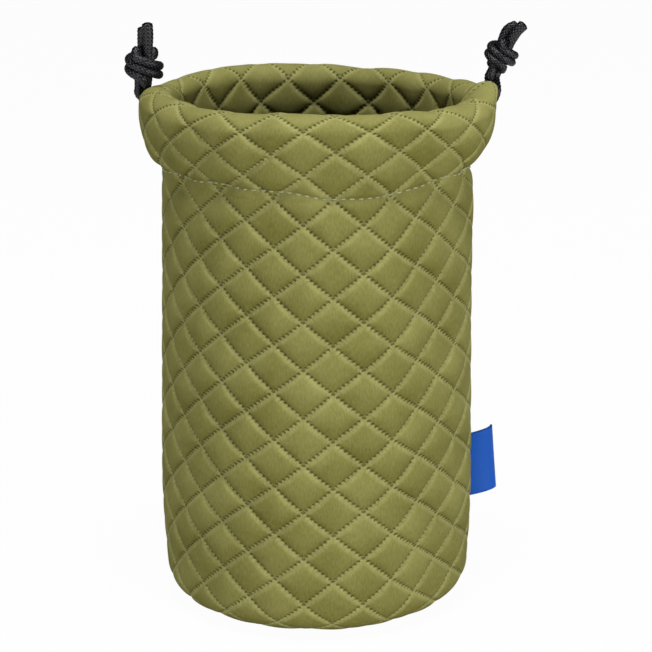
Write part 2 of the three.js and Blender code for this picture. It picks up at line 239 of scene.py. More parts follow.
def pattern_place(place, scales, turn=0):
    """A place to lay a pattern by, turned by degrees and scaled across and along the cloth."""
    inputs = {0: place, 2: (0, 0, math.radians(turn)), 3: (*scales, 1)}
    return node("ShaderNodeMapping", inputs).outputs[0]


def noise(place, scale, detail, **more):
    inputs = {"Vector": place, "Scale": scale, "Detail": detail, **more}
    return node("ShaderNodeTexNoise", inputs).outputs[0]


def surface(colour, height, relief_share, relief_depth, settings):
    """The end of each material: its colour, its fine relief and its shine."""
    relief = {"Strength": relief_share, "Distance": relief_depth, "Height": height}
    normal = node("ShaderNodeBump", relief).outputs[0]
    shader = node("ShaderNodeBsdfPrincipled", {"Base Color": colour, "Normal": normal, **settings})
    node("ShaderNodeOutputMaterial", {0: shader.outputs[0]})


def add_piece(name, points, faces, finish, uv=None, body="pouch"):
    mesh = bpy.data.meshes.new(name)
    mesh.from_pydata(np.reshape(points, (-1, 3)).tolist(), [], faces)
    if uv is not None:
        corners = np.zeros(len(mesh.loops), dtype=np.int32)
        mesh.loops.foreach_get("vertex_index", corners)
        layer = mesh.uv_layers.new(name="cloth")
        layer.data.foreach_set("uv", np.reshape(uv, (-1, 2))[corners].astype(np.float32).ravel())
    mesh.shade_smooth()
    mesh.materials.append(finish)
    piece = bpy.data.objects.new(name, mesh)
    scene.collection.objects.link(piece)
    if body:
        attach(piece, body)
    return piece


def ring_turns(sides):
    return np.arange(sides) * 2 * math.pi / sides


def tube_ends(rows, columns, start=0):
    """The faces that close the first and the last ring of a tube."""
    last = start + (rows - 1) * columns
    return [list(range(start, start + columns))[::-1], list(range(last, last + columns))]


def grid_faces(rows, columns, closed=False, flip=False, start=0):
    faces = []
    for i in range(rows - 1):
        low = start + i * columns
        high = low + columns
        for j in range(columns if closed else columns - 1):
            k = (j + 1) % columns
            face = [low + j, low + k, high + k, high + j]
            faces.append(face[::-1] if flip else face)
    return faces


# Drawcords. Two round braided cords, black polyester, each go once round the casing. Their ends come out
# together at one side, are tied in an overhand knot and cut 5 to 8 mm above it.
CORD_DIAMETER = 3.3 * MM
CORD_RADIUS = CORD_DIAMETER / 2
SLOT_WIDTH = 9 * MM
BRAID_STRANDS = 8
BRAID_RELIEF = 0.34 * MM
BRAID_UNDER_SHARE = 0.45  # of a yarn's height, owed to the yarn under it
FILAMENT_RELIEF = 0.1 * MM
# Share of a yarn's height below which its grey painted highlight fades out to black.
DIVE_SHARE = 0.74  # of a yarn's height, below which it is black
CORD_RING_SIDES = 40
CORD_STEP = 0.26 * MM
LOOP_STEP = 1 * MM
LOOP_POINTS = 70
END_RADIUS_SHARE = 0.5  # of a cut end's melted face
END_DOME_SHARE = 0.3
END_SWELL_SHARE = 0.16
END_REACH = 7 * MM  # from a cut end, over which its cord swells
START_WAY = (0.3, 0.5, 0.8)  # any way that no cord starts along
KNOT_TURNS = 1.25
HOOK_TURN = math.radians(12)
WRAP_TURN = math.radians(30)
WRAP_POINTS = 11
PRESSED_SHARE = 1.1  # how far a knot's tightness thins its cord, raised to a power
PRESSED_POWER = 1.3
PRESSED_EDGE_POWER = 6  # how sharply that stops at the knot's ends
# Each cord's sign is its side. Its knot leans and its leads and tails turn by degrees. Its leads' points are
# in mm, as far out as the sign says.
CORDS = {
    "left": dict(
        sign=-1, height=165.4 * MM, ring=50.7 * MM, out=57.5 * MM, knot_height=185.7 * MM, lean=-4, spin=-30,
        lead_turn=25, tight_share=0.9, slant_share=0.15,
        tails=dict(front=(7.4 * MM, 1), back=(5.2 * MM, -3)),
        leads=dict(
            front=((53.2, -2.4, 165.6), (54.4, -1.9, 167.2), (55, -1.95, 170.4), (56.3, -1.9, 173.4)),
            back=((52.4, 2.4, 165.6), (51.8, 1.9, 167), (52.6, 1.95, 170.4), (54.2, 1.95, 174)),
        ),
    ),
    "right": dict(
        sign=1, height=170 * MM, ring=51.1 * MM, out=61.5 * MM, knot_height=189.6 * MM, lean=21, spin=50,
        lead_turn=0, tight_share=0.76, slant_share=0,
        tails=dict(front=(5.1 * MM, 52), back=(6 * MM, 37)),
        leads=dict(
            front=((53.4, -2.4, 170.2), (55.9, -1.95, 171.6), (58.6, -1.95, 174.2), (60, -1.9, 177.6)),
            back=((53, 2.4, 170.2), (55.4, 2, 173), (57.8, 1.95, 178)),
        ),
    ),
}


def braid(turn, run):
    """Height of a braid's yarns from 0 to 1. A yarn of each hand lies on top in every other cell."""
    right_hand = turn + run
    left_hand = turn - run
    across_right = np.cos(np.pi * (right_hand % 1 - 0.5))
    across_left = np.cos(np.pi * (left_hand % 1 - 0.5))
    right_on_top = (np.floor(right_hand) + np.floor(left_hand)) % 2 == 0
    top = np.where(right_on_top, across_right, across_left)
    under = np.where(right_on_top, across_left, across_right)
    return np.sqrt(top) * (1 - BRAID_UNDER_SHARE * (1 - under))


def unit(v):
    return v / np.linalg.norm(v)


def turned(v, axis, angle):
    along = axis * (axis @ v) * (1 - math.cos(angle))
    return v * math.cos(angle) + np.cross(axis, v) * math.sin(angle) + along


def cord_piece(name, path, radii, body):
    """A braided tube along a path, with closed, slightly melted ends."""
    path = np.array(path)
    count = len(path)
    tangents = np.gradient(path, axis=0)
    tangents /= np.linalg.norm(tangents, axis=1)[:, None]
    side = unit(np.cross(tangents[0], START_WAY))
    cell = math.pi * CORD_DIAMETER / BRAID_STRANDS
    run = run_along(path) / cell
    turns = ring_turns(CORD_RING_SIDES)
    strands = turns * BRAID_STRANDS / (2 * math.pi)
    uv = np.pad(crossed(strands, run[:, None]), ((1, 1), (0, 0), (0, 0)), mode="edge")
    crown = np.pad(braid(strands, run[:, None]), ((1, 1), (0, 0)))
    rings = np.zeros((count + 2, CORD_RING_SIDES, 3))
    for i in range(count):
        side = unit(side - tangents[i] * (side @ tangents[i]))
        other = np.cross(tangents[i], side)
        ring_radius = radii[i] - BRAID_RELIEF * (1 - crown[i + 1])
        way = np.cos(turns)[:, None] * side + np.sin(turns)[:, None] * other
        rings[i + 1] = path[i] + ring_radius[:, None] * way
    for end, beside, way in ((0, 1, -tangents[0]), (-1, -2, tangents[-1])):
        face = path[end] + END_RADIUS_SHARE * (rings[beside] - path[end])
        rings[end] = face + way * END_DOME_SHARE * CORD_RADIUS
    faces = grid_faces(count + 2, CORD_RING_SIDES, closed=True) + tube_ends(count + 2, CORD_RING_SIDES)
    piece = add_piece(name, rings, faces, cord_polyester, uv, body)
    piece.data.attributes.new("crown", "FLOAT", "POINT").data.foreach_set("value", crown.ravel())
    return piece


# Braided polyester: each yarn is a bundle of shiny black filaments. A painted highlight makes it grey on its
# crown, streaked along the filaments; where it dives it stays black.
cord_polyester, tree = material("braided_black_polyester")
crown = node("ShaderNodeAttribute", attribute_name="crown")
filaments = noise(cloth_place(), 9, 2)
# Painted highlight on the yarns' crowns, above the dive share, streaked by the filaments.
painted_crown_highlight = node("ShaderNodeMapRange", {0: crown.outputs["Fac"], 1: DIVE_SHARE, 2: 1, 3: 0, 4: 1})
painted_crown_highlight = times(painted_crown_highlight.outputs[0], filaments)
surface(shade(painted_crown_highlight, "050507", "787882"), filaments, 0.6, FILAMENT_RELIEF,
        {"Roughness": 0.38, "IOR": 1.5, "Specular IOR Level": 0.35})


def knot_half_height(cord):
    return cord["tight_share"] * CORD_DIAMETER * (KNOT_TURNS + 0.5) + CORD_RADIUS + LAYER_GAP


def knot_frame(cord):
    lean = math.radians(cord["lean"]) * cord["sign"]
    up = np.array([math.sin(lean), 0, math.cos(lean)])
    out = np.array([cord["sign"], 0, 0.0])
    out = turned(unit(out - up * (out @ up)), up, math.radians(cord["spin"]) * cord["sign"])
    return np.array([cord["sign"] * cord["out"], 0, cord["knot_height"]]), up, out, np.cross(up, out)


def knot_route(cord, strand):
    """Up the middle, over the top, down round the outside, and up the middle again."""
    centre, up, out, across = knot_frame(cord)
    half = 0 if strand == "front" else math.pi
    spacing = cord["tight_share"] * CORD_DIAMETER
    core = spacing / math.sqrt(2)
    half_height = knot_half_height(cord)

    def spot(radius, turn, height):
        reach = radius * (math.cos(turn + half) * out + math.sin(turn + half) * across)
        slant = -cord["slant_share"] * reach[0] if radius > core else 0
        return centre + reach + (height + slant) * up

    full_turn = 2 * math.pi * KNOT_TURNS
    top = spacing * KNOT_TURNS
    wrap_turns = np.linspace(WRAP_TURN, full_turn - WRAP_TURN, WRAP_POINTS)
    return [
        spot(core, math.radians(cord["lead_turn"]), -half_height),
        spot(core, 0, 0),
        spot(core, 0, top - spacing / 2),
        spot(core + spacing / 2, HOOK_TURN, top + spacing / 2),
        *[spot(core + spacing, t, top - spacing * t / math.pi) for t in wrap_turns],
        spot(core + spacing / 2, full_turn - HOOK_TURN, -top - spacing / 2),
        spot(core, full_turn, spacing / 2 - top),
        spot(core, full_turn, 0),
        spot(core, full_turn, half_height),
    ]


for side, cord in CORDS.items():
    own_side = 0 if cord["sign"] > 0 else math.pi
    ring = cord["ring"]
    inset = math.asin((SLOT_WIDTH / 2 + CORD_DIAMETER) / ring)
    loop_turns = np.linspace(inset, 2 * math.pi - inset, LOOP_POINTS) + own_side
    stretch = stretch_at(cord["height"])
    loop = crossed((ring + stretch) * np.cos(loop_turns), (ring - stretch) * np.sin(loop_turns),
                   cord["height"])
    loop = smooth_line(loop, LOOP_STEP)
    loop_piece = cord_piece(f"{side}_casing_cord", loop, np.full(len(loop), CORD_RADIUS), "pouch")
    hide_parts(f"{side}_drawcord")
    centre, up, out, across = knot_frame(cord)
    half_height = knot_half_height(cord)
    squeeze_share = PRESSED_SHARE * (1 - cord["tight_share"]) ** PRESSED_POWER
    for strand in ("front", "back"):
        at_end = -1 if (strand == "front") == (cord["sign"] > 0) else 0
        onward = unit(loop[-1] - loop[-2]) if at_end else unit(loop[0] - loop[1])
        start = loop[at_end] + onward * LAYER_GAP
        knot = knot_route(cord, strand)
        lead = [np.array([cord["sign"] * x, y, z]) * MM for x, y, z in cord["leads"][strand]]
        tail_length, tail_lean = cord["tails"][strand]
        tail_lean = math.radians(tail_lean) * cord["sign"]
        root = knot[-1]
        tip = root + tail_length * np.array([math.sin(tail_lean), 0, math.cos(tail_lean)])
        bend = 0.25 * root + 0.5 * (root + up * tail_length / 2) + 0.25 * tip
        route = [start, start + onward * CORD_RADIUS, *lead, knot[0] - up * CORD_RADIUS, *knot, bend, tip]
        path = smooth_line(route, CORD_STEP)
        in_knot = np.exp(-((((path - centre) @ up) / half_height) ** PRESSED_EDGE_POWER))
        to_tip = np.linalg.norm(path - tip, axis=1)
        at_tip = np.exp(-((to_tip / END_REACH) ** 2))
        radii = CORD_RADIUS * (1 - squeeze_share * in_knot + END_SWELL_SHARE * at_tip)
        piece = cord_piece(f"{side}_cord_{strand}", path, radii, None)
        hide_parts(f"{side}_lead_{strand}", f"{side}_tail_{strand}", f"{side}_knot")
        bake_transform(piece)

# Quilted cover. Each half is one cut of brushed knit, machine-quilted to thin foam in diamonds. The needle
# pulls a small pit at each stitch and puckers the cloth between pits. The edges turn in at seams and slits.
QUILT_DEPTH = 1.9 * MM
SWELL_ABOVE = 0.4 * MM  # how far the middle of a diamond stands out from the plain form
SWELL_UNEVEN_SHARE = 0.12
DOME_EDGE = 1.15 * MM  # the steep part of a diamond's swell, beside its seam
DOME_EDGE_SHARE = 0.72
PIT_DEPTH = 0.25 * MM
PIT_RADIUS = 0.5 * MM
PIT_UNEVEN_SHARE = 0.4
PUCKER_HEIGHT = 0.2 * MM
PUCKER_REACH = 1.3 * MM
CROSSING_RADIUS = 0.8 * MM  # pits are shallow where two lines cross
CROSSING_SHARE = 0.7
PITS_PER_SIDE = 8
FACE_STEPS = 16  # mesh steps in half a diamond, two to a pit
EDGE_STEPS = 6
EDGE_COLUMNS = 1 / 8  # half diamonds of cloth to each step of a rolled edge
SEAM_ROLL = 1.1 * MM
SLIT_ROLL = 2.5 * MM
SLIT_OVERLAP = 0.5 * MM  # how far each rolled edge stands into the slit
SIDE_SPACING = 12.5 * MM  # between two neighbouring parallel lines of quilting
OUTSIDE_STRETCH = 0.9  # of the cloth where the hem gathers it
INSIDE_STRETCH = 1.18  # and where it is pulled open inside the mouth
WALL_STRETCH = 0.02  # of the wall's cloth, growing from the hem down to the base

# The hem, the base seam and the side seams pinch the cloth: how far in, and how far each pinch reaches
HEM_PINCH = 1.1 * MM
HEM_PINCH_REACH = 1.3 * MM
BASE_PINCH = 0.9 * MM
BASE_PINCH_REACH = 1.5 * MM
SEAM_PINCH = 0.5 * MM
SEAM_PINCH_REACH = 2 * MM
# The shares by which the quilting is pulled flat along the rim, the sides and the bottom
RIM_TAUT_SHARE = 0.75
SIDE_TAUT_SHARE = 0.85
BASE_TAUT_SHARE = 0.85
SIDE_TAUT_REACH = 15 * MM

# How the lattice of quilting lies on the cloth, in half diamonds. Rows count up from the hem.
WALL_ROWS = 20
HEM_STEP = WALL_ROWS * FACE_STEPS
RIM_TAUT_ROWS = 1.2
BASE_TAUT_ROWS = 2.6
CASING_LIFT = 0.16  # the lattice stands higher on the casing, between these rows
CASING_LIFT_ROWS = ((0, 1.5), (2.5, 4.5))
OPEN_ROWS = 1.5  # from the rim's crest to where the cloth is fully pulled open
SIDE_STRETCH = 0.03  # round the pouch, most at the middle of each half
SIDE_DRIFT = 0.0036  # by which the lattice's middle stands to the right of the half's middle
BACK_SHIFT = 0.38  # by which the back half was cut out of step
# On the wall the lattice stands higher at both sides, most of all low down at the right. On its front it
# hangs lower and slips out right of the middle, and the seam draws it out. Spans are columns from the middle.
LEFT_LIFT = 0.2
LEFT_SPAN = (0.5, 3.5)
RIGHT_LIFT = 0.27
RIGHT_SPAN = (2.5, 4.5)
LOW_LIFT = 0.2
LOW_SPAN = (3, 6)
LOW_ROWS = (13, 18)
RIGHT_SAG = 0.12
RIGHT_SLIP = 0.1
SAG_SPAN = (0.5, 2.5)
SEAM_DRAW = 0.85
SEAM_DRAW_COLUMNS = 2.4
TOP_ROWS = (-2, 1)  # where all this fades out, at the hem

# The soft unevenness of padded cloth: waves round the pouch, each with its size in mm, its count round, its
# turn for each unit up, and its start. The wall has less of it than the casing.
SLACK_WAVES = ((0.35, 5, 0.55, 1.3), (0.3, 9, -0.8, 0.7), (0.3, 3, 0.4, 2), (0.15, 17, 1.1, 0))
SLACK_UNIT = 10 * MM
SLACK_SPAN = (120 * MM, 170 * MM)
WALL_SLACK_SHARE = 0.35
SCATTER_FACTORS = (12.9898, 78.233, 43758.5453)  # uneven, so that neighbours come out unlike


def pouch_outline():
    """Radius, height, way out of the cloth and row count of the face, from base seam to turned-in edge."""
    corner_radii = (CORNER_TOP_RADIUS - BASE_SEAM_RADIUS, CORNER_HEIGHT - LAYER_GAP)
    corner = arc((BASE_SEAM_RADIUS, CORNER_HEIGHT), corner_radii, -90, 0, CORNER_POINTS)
    upright = smooth_line([(CORNER_TOP_RADIUS, CORNER_HEIGHT), (BELLY_RADIUS, BELLY_HEIGHT),
                           (HEM_RADIUS, HEM_HEIGHT)], MM)
    crest_height = RIM_HEIGHT - CREST_RADIUS
    bulge = smooth_line([(r * MM, h * MM) for r, h in BULGE_MM] + [(CASING_RADIUS, crest_height)], MM)
    crest_middle = (CASING_RADIUS - CREST_RADIUS, crest_height)
    crest = arc(crest_middle, (CREST_RADIUS, CREST_RADIUS), 0, 180, CREST_POINTS)
    top = CREST_POINTS // 2
    wall = even_steps([*corner, *upright[1:]], count=HEM_STEP)
    row_step = ROW_HEIGHT / FACE_STEPS
    outside = even_steps([*bulge, *crest[: top + 1]], row_step * OUTSIDE_STRETCH)
    inside = even_steps([*crest[top:], (TURN_IN_RADIUS, TURN_IN_HEIGHT)], row_step * INSIDE_STRETCH)
    points = np.vstack([wall, outside[1:], inside[1:]])
    along = np.gradient(points, axis=0)
    for _ in range(4):
        along[1:-1] = (along[:-2] + 2 * along[1:-1] + along[2:]) / 4
    along /= np.linalg.norm(along, axis=1)[:, None]
    rows = np.arange(len(points)) / FACE_STEPS - WALL_ROWS
    rows = np.where(rows < 0, rows * (1 + WALL_STRETCH * rows / WALL_ROWS), rows)
    from_hem, to_crest = CASING_LIFT_ROWS
    rows -= CASING_LIFT * ramp(rows, *from_hem) * (1 - ramp(rows, *to_crest))
    return points, np.stack([along[:, 1], -along[:, 0]], axis=1), rows


face_points, face_outward, face_rows = pouch_outline()
FACE_COLUMNS = np.arange(DIAMONDS_ROUND * FACE_STEPS + 1) / FACE_STEPS
CREST_ROW = np.argmax(face_points[:, 1]) / FACE_STEPS - WALL_ROWS


def hem_row_at(angle):
    return wave_at(angle, HEM_WAVE) / ROW_HEIGHT


def scatter(a, b):
    """A settled random share from 0 to 1 for each pair of numbers."""
    a_factor, b_factor, spread = SCATTER_FACTORS
    return np.abs(np.sin(a * a_factor + b * b_factor) * spread) % 1


def quilting(column, row):
    """Depth of the face under its plain form."""
    rising = (column + row) / 2
    falling = (column - row) / 2
    from_rising = np.abs(rising - np.round(rising))
    from_falling = np.abs(falling - np.round(falling))

    def dome(share):
        edge = 1 - np.exp(-share * SIDE_SPACING / DOME_EDGE)
        return DOME_EDGE_SHARE * edge + (1 - DOME_EDGE_SHARE) * np.sin(np.pi * share)

    swell = dome(from_rising) * dome(from_falling)
    swell *= 1 + SWELL_UNEVEN_SHARE * (2 * scatter(np.floor(rising), np.floor(falling)) - 1)
    pit = np.zeros_like(swell)
    pucker = np.zeros_like(swell)
    for share, run, line in ((from_rising, falling, rising), (from_falling, rising, falling)):
        distance = share * SIDE_SPACING
        beat = np.cos(np.pi * PITS_PER_SIDE * run) ** 2
        weakness = PIT_UNEVEN_SHARE * (1 - scatter(np.round(run * PITS_PER_SIDE), np.round(line) + 0.5))
        pit = np.maximum(pit, (1 - weakness) * beat * np.exp(-((distance / PIT_RADIUS) ** 2)))
        pucker = np.maximum(pucker, (1 - beat) * np.exp(-distance / PUCKER_REACH))
    from_crossing = np.hypot(from_rising, from_falling) * SIDE_SPACING
    pit *= 1 - CROSSING_SHARE * np.exp(-((from_crossing / CROSSING_RADIUS) ** 2))
    return QUILT_DEPTH * (1 - swell) - SWELL_ABOVE + PIT_DEPTH * pit - PUCKER_HEIGHT * pucker


def slack(angle, height):
    """How far the cloth stands out by its unevenness."""
    uneven = sum(size * MM * np.sin(count * angle + turn * height / SLACK_UNIT + start)
                 for size, count, turn, start in SLACK_WAVES)
    return uneven * (WALL_SLACK_SHARE + (1 - WALL_SLACK_SHARE) * ramp(height, *SLACK_SPAN))


def half_grid(start_angle, rows, columns):
    """Of one half of a layer: radius, height, way out, angle, the rolled edges' radius and the row count."""
    radius, height = face_points[rows, 0][:, None], face_points[rows, 1][:, None]
    outward = face_outward[rows][:, None, :]
    count = face_rows[rows][:, None]
    open_share = ramp(count, 0, 1)
    roll = SEAM_ROLL + (SLIT_ROLL - SEAM_ROLL) * open_share
    gap = open_share * (SLOT_WIDTH / 2 - SLIT_OVERLAP)
    inset = (roll + gap) / (radius - stretch_at(height))
    share = columns[None, :] / DIAMONDS_ROUND
    pulled = SIDE_STRETCH + (INSIDE_STRETCH - 1) * ramp(count, CREST_ROW, CREST_ROW + OPEN_ROWS)
    pulled = pulled * np.sin(2 * math.pi * share) / (2 * math.pi)
    share = share - pulled + SIDE_DRIFT * np.sin(math.pi * share)
    return radius, height, outward, start_angle + inset + (math.pi - 2 * inset) * share, roll, count


def lattice_place(angle, columns, count):
    """Column and row of the lattice of quilting on the cloth."""
    front = np.sin(angle) < 0
    from_right = DIAMONDS_ROUND - columns[None, :]
    from_middle = DIAMONDS_ROUND / 2 - from_right
    below_top = 1 - ramp(count, *TOP_ROWS)
    drawn = SEAM_DRAW * np.exp(-((from_right / SEAM_DRAW_COLUMNS) ** 2)) * below_top * front
    right_of_middle = ramp(from_middle, *SAG_SPAN) * front
    column = columns[None, :] + 1 + BACK_SHIFT * (np.sin(angle) > 0) - drawn - RIGHT_SLIP * right_of_middle
    lift = LEFT_LIFT * ramp(-from_middle, *LEFT_SPAN) + RIGHT_LIFT * ramp(from_middle, *RIGHT_SPAN)
    low_right = ramp(from_middle, *LOW_SPAN) * ramp(-count, *LOW_ROWS)
    return column, count - (lift + LOW_LIFT * low_right - RIGHT_SAG * right_of_middle) * below_top


def side_distance(columns):
    return np.minimum(columns, DIAMONDS_ROUND - columns)[None, :] * COLUMN_WIDTH


def pinch(angle, columns, count):
    """How far the hem, the base seam and the side seams draw the cloth in."""
    at_hem = np.exp(-np.abs(count - hem_row_at(angle)) * ROW_HEIGHT / HEM_PINCH_REACH)
    at_base = np.exp(-(count - face_rows[0]) * ROW_HEIGHT / BASE_PINCH_REACH)
    at_seam = np.exp(-side_distance(columns) / SEAM_PINCH_REACH) * (1 - ramp(count, 0, 1))
    return HEM_PINCH * at_hem + BASE_PINCH * at_base + SEAM_PINCH * at_seam


def face_depth(angle, height, columns, count):
    """Depth of the cover's face under its plain form. The rim, the sides and the bottom are pulled taut."""
    depth = quilting(*lattice_place(angle, columns, count))
    for taut_share, distance, reach in (
        (RIM_TAUT_SHARE, count - CREST_ROW, RIM_TAUT_ROWS),
        (SIDE_TAUT_SHARE, side_distance(columns), SIDE_TAUT_REACH),
        (BASE_TAUT_SHARE, count - face_rows[0], BASE_TAUT_ROWS),
    ):
        depth = depth * (1 - taut_share * np.exp(-((distance / reach) ** 2)))
    return depth + pinch(angle, columns, count) - slack(angle, height)


def half_face(start_angle, first, last):
    """The rows first to last of one half of the face, its side edges rolled in over the padding's edges."""
    radius, height, outward, angle, roll, count = half_grid(start_angle, slice(first, last + 1), FACE_COLUMNS)
    depth = face_depth(angle, height, FACE_COLUMNS, count)
    place, row = lattice_place(angle, FACE_COLUMNS, count)

    # The rolled edges: from the first and the last column, half a turn in towards the padding
    turns = np.linspace(0, math.pi, EDGE_STEPS + 1)[1:]
    sideways = roll * np.sin(turns) / radius
    deeper = roll * (1 - np.cos(turns))
    turned_in = np.arange(1, EDGE_STEPS + 1) * EDGE_COLUMNS

    def edged(value, change_left, change_right):
        return np.hstack([value[:, :1] + change_left[..., ::-1], value, value[:, -1:] + change_right])

    angle = edged(angle, -sideways, sideways)
    depth = edged(depth, deeper, deeper)
    place = edged(place, -turned_in, turned_in)
    row = edged(row, 0 * turned_in, 0 * turned_in)
    points = around(radius - depth * outward[..., 0], angle, height - depth * outward[..., 1])
    return points, crossed(place, row)


# Brushed warp knit: dull, soft olive, finely streaked along its wales. Its colour holds painted top light and
# shade: pale where the cloth faces up and deep where it faces down. Below each line of quilting a pale band
# with streaky flutes is painted highlight, where light from above catches the upper edge of each diamond.
# Above each line the needle holes show as dark teeth of painted shade.
TOOTH_LENGTH_MM = 1.4
TOOTH_ABOVE_MM = 0.3
BAND_BELOW_MM = 1.9
BAND_ABOVE_MM = 0.5
FLUTE_MM = 0.5
WALE_MM = 0.55
WALE_DRAWN_SHARE = 0.3  # how fine the marks are along the nap, of how fine across it
FLUTE_DRAWN_SHARE = 0.15
BAND_HIGHLIGHT_SHARE = 0.7
TOOTH_SHADE_SHARE = 0.66
TOOTH_SINK = 3  # in heights of the wales
KNIT_RELIEF = 0.1 * MM
HALF_DIAMOND_MM = np.array([COLUMN_WIDTH, ROW_HEIGHT]) / MM


def line_marks(across, along, upwards, uneven):
    """Shares of painted shade in a dark tooth and of painted highlight in a pale band, from the counts across
    one set of lines and along them.
    """
    spacing_mm = SIDE_SPACING / MM
    off_line = maths("SUBTRACT", across, maths("ROUND", across))
    above = times(times(off_line, spacing_mm), upwards)
    midway = maths("PINGPONG", times(along, 2 * PITS_PER_SIDE), 1)
    # Painted shade: a dark tooth in each needle hole, set just above the line.
    length = maths("DIVIDE", maths("SUBTRACT", above, TOOTH_ABOVE_MM), TOOTH_LENGTH_MM / 2)
    width = maths("DIVIDE", midway, uneven)
    fill = maths("SUBTRACT", 1, times(length, length))
    fill = maths("SUBTRACT", fill, times(width, width))
    painted_shade_tooth = maths("MULTIPLY", fill, 1.6, clamp=True)
    # Painted highlight: a pale band just below the line, broken into streaky flutes of light.
    near = maths("MINIMUM", maths("MULTIPLY_ADD", above, 1 / BAND_BELOW_MM, 1),
                 maths("MULTIPLY_ADD", above, -1 / BAND_ABOVE_MM, 1), clamp=True)
    at = node("ShaderNodeCombineXYZ", {0: times(along, spacing_mm / FLUTE_MM),
                                       1: times(above, FLUTE_DRAWN_SHARE / FLUTE_MM)})
    painted_flute_highlight = maths("MULTIPLY_ADD", noise(at.outputs[0], 1, 2), 2.4, -0.45, clamp=True)
    return painted_shade_tooth, times(near, painted_flute_highlight)


brushed_knit, tree = material("brushed_olive_knit")
counts = node("ShaderNodeSeparateXYZ", {0: cloth_place()}).outputs
cloth_mm = pattern_place(cloth_place(), HALF_DIAMOND_MM)
uneven = noise(cloth_mm, 0.6, 1)
rising = times(maths("ADD", counts[0], counts[1]), 0.5)
falling = times(maths("SUBTRACT", counts[0], counts[1]), 0.5)
outside = maths("SIGN", maths("SUBTRACT", CREST_ROW, counts[1]))
inside = times(outside, -1)
marks = zip(line_marks(rising, falling, outside, uneven), line_marks(falling, rising, inside, uneven))
painted_shade_tooth, painted_highlight_band = (maths("MAXIMUM", *pair) for pair in marks)
wales = pattern_place(cloth_mm, (1 / WALE_MM, WALE_DRAWN_SHARE / WALE_MM))
streaks = noise(wales, 1, 4, Roughness=0.7)
cloud = noise(cloth_mm, 0.06, 3)
# Painted top light and shade: paler where the surface's normal points up, deeper where it points down.
painted_light_facing = node("ShaderNodeTexCoord").outputs["Normal"]
painted_light_facing = node("ShaderNodeSeparateXYZ", {0: painted_light_facing}).outputs[2]
upwards = maths("MULTIPLY_ADD", painted_light_facing, 0.45, 0.06)
grain = maths("MULTIPLY_ADD", maths("ADD", streaks, cloud), 0.9, -0.65)
grain_and_painted_top_light = shade(maths("ADD", grain, upwards, clamp=True), "68652D", "9C9A5C")
# Mixes in the pale band's painted highlight.
with_painted_highlight = shade(times(painted_highlight_band, BAND_HIGHLIGHT_SHARE), grain_and_painted_top_light, "B8B676")
# Mixes in the needle holes' painted shade.
with_painted_shade = shade(times(painted_shade_tooth, TOOTH_SHADE_SHARE), with_painted_highlight, "34310F")
height = maths("MULTIPLY_ADD", painted_shade_tooth, -TOOTH_SINK, maths("ADD", painted_highlight_band, streaks))
surface(with_painted_shade, height, 0.8, KNIT_RELIEF,
        {"Roughness": 0.9, "IOR": 1.4, "Specular IOR Level": 0.2,
         "Sheen Weight": 0.06, "Sheen Roughness": 0.5, "Sheen Tint": linear("B9B66E")})

HALVES = {"front": math.pi, "back": 0.0}  # the angle at which each one starts
for half, start_angle in HALVES.items():
    for part, first, last in (("wall", 0, HEM_STEP), ("casing", HEM_STEP, len(face_points) - 1)):
        points, uv = half_face(start_angle, first, last)
        faces = grid_faces(*points.shape[:2])
        cover = add_piece(f"{half}_{part}_cover", points, faces, brushed_knit, uv)
        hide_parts(f"{half}_cover")

# Padding. Each half's sheet of soft foam lies under its cover, pressed thin along the quilting. It is folded
# over at the rim with the cover, which makes the rolled edge of the mouth full and round.
FOAM_OUTSIDE = 2.25 * MM
FOAM_PRESSED = 3.1 * MM
FOAM_PINCH_SHARE = 1.3  # of the cover's pinch at the seams
PADDING_INSIDE = 3.3 * MM
FOAM_CELL = 0.8 * MM
FOAM_RELIEF = 0.2 * MM
LAYER_STEPS = 4  # mesh steps in half a diamond


def half_layer(start_angle, outer_depth, inner_depth):
    """A closed sheet between two depths under the plain form, each a length or a function of the place."""
    columns = np.arange(DIAMONDS_ROUND * LAYER_STEPS + 1) / LAYER_STEPS
    rows = np.arange(0, len(face_points), FACE_STEPS // LAYER_STEPS)
    radius, height, outward, angle, roll, count = half_grid(start_angle, rows, columns)
    shells = []
    for given in (outer_depth, inner_depth):
        depth = given(angle, height, columns, count) if callable(given) else given + 0 * angle
        shells.append(around(radius - depth * outward[..., 0], angle, height - depth * outward[..., 1]))
    size = angle.size
    faces = grid_faces(*angle.shape) + grid_faces(*angle.shape, flip=True, start=size)
    corner = np.arange(size).reshape(angle.shape)
    rim = np.concatenate([corner[:, 0], corner[-1, 1:], corner[-2::-1, -1], corner[0, -2:0:-1]]).tolist()
    for a, b in zip(rim, rim[1:] + rim[:1]):
        faces.append([a, b, b + size, a + size])
    uv = crossed(columns, count)
    return np.stack(shells), faces, np.stack([uv, uv])


# Polyurethane foam, open-celled and matt, slightly yellowed white.
soft_foam, tree = material("open_cell_foam")
place = node("ShaderNodeTexCoord").outputs["Object"]
cells = node("ShaderNodeTexVoronoi", {"Vector": place, "Scale": 1 / FOAM_CELL}).outputs[0]
foam_colour = shade(cells, "B9B6A4", "DAD7C8")
surface(foam_colour, cells, 0.5, FOAM_RELIEF, {"Roughness": 0.95, "IOR": 1.4})


def padding_outside(angle, height, columns, count):
    under = FOAM_OUTSIDE + FOAM_PINCH_SHARE * pinch(angle, columns, count) - slack(angle, height)
    return np.minimum(under, FOAM_PRESSED)


for half, start_angle in HALVES.items():
    points, faces, uv = half_layer(start_angle, padding_outside, PADDING_INSIDE)
    foam = add_piece(f"{half}_foam", points, faces, soft_foam, uv)
    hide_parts(f"{half}_padding")

